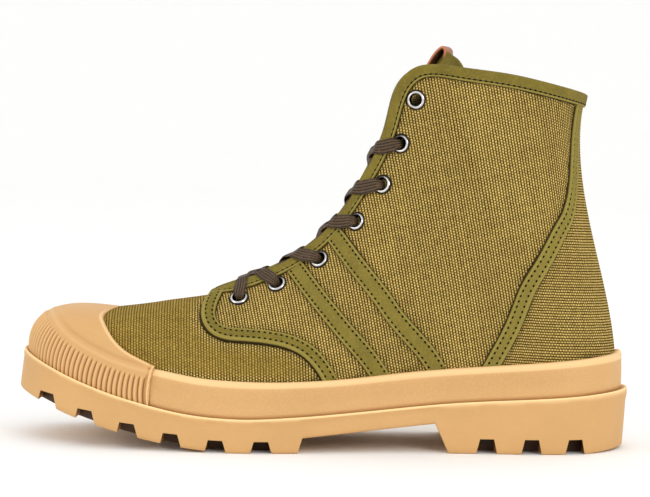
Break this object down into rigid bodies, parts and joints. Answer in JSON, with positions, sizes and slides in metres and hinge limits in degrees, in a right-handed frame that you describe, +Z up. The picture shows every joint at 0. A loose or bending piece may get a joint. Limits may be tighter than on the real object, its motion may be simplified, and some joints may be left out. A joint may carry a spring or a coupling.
{
  "type": "canvas ankle boot",
  "caption": "Lace-up canvas ankle boot with a moulded rubber toe cap, a rubber side band and a thick lugged rubber sole, standing upright and empty",
  "frame": {"origin": "on the floor, under the middle of the boot's bounding box", "axes": "+X to the heel and -X to the toe, -Y to the outer side and +Y to the inner side, +Z up"},
  "size_m": [0.2999, 0.1075, 0.1953],
  "materials": {
    "canvas": "coarse olive canvas, matte",
    "tape": "smooth olive cotton tape, stitched",
    "rubber": "moulded tan rubber, satin, fine pebble grain on the side band",
    "lace": "flat waxed dark brown lace",
    "eyelet": "gunmetal plated, bright rim",
    "leather": "undyed tan leather",
    "insole": "plain woven sock lining"
  },
  "bodies": {
    "root": {"collar_binding": "tape", "counter_tape_inner": "tape", "counter_tape_outer": "tape", "eyelet_inner_1": "eyelet", "eyelet_inner_2": "eyelet", "eyelet_inner_3": "eyelet", "eyelet_inner_4": "eyelet", "eyelet_inner_5": "eyelet", "eyelet_inner_6": "eyelet", "eyelet_inner_7": "eyelet", "eyelet_outer_1": "eyelet", "eyelet_outer_2": "eyelet", "eyelet_outer_3": "eyelet", "eyelet_outer_4": "eyelet", "eyelet_outer_5": "eyelet", "eyelet_outer_6": "eyelet", "eyelet_outer_7": "eyelet", "foxing": "rubber", "front_stay_inner": "tape", "front_stay_outer": "tape", "insole": "insole", "lace_bar_1": "lace", "lace_cross_2": "lace", "lace_cross_3": "lace", "lace_cross_4": "lace", "lace_cross_5": "lace", "lace_cross_6": "lace", "outsole": "rubber", "rear_stay_inner": "tape", "rear_stay_outer": "tape", "toe_cap": "rubber", "tongue": "canvas", "tongue_loop": "leather", "upper": "canvas", "vamp_tape_inner": "tape", "vamp_tape_outer": "tape"}
  },
  "joints": []
}
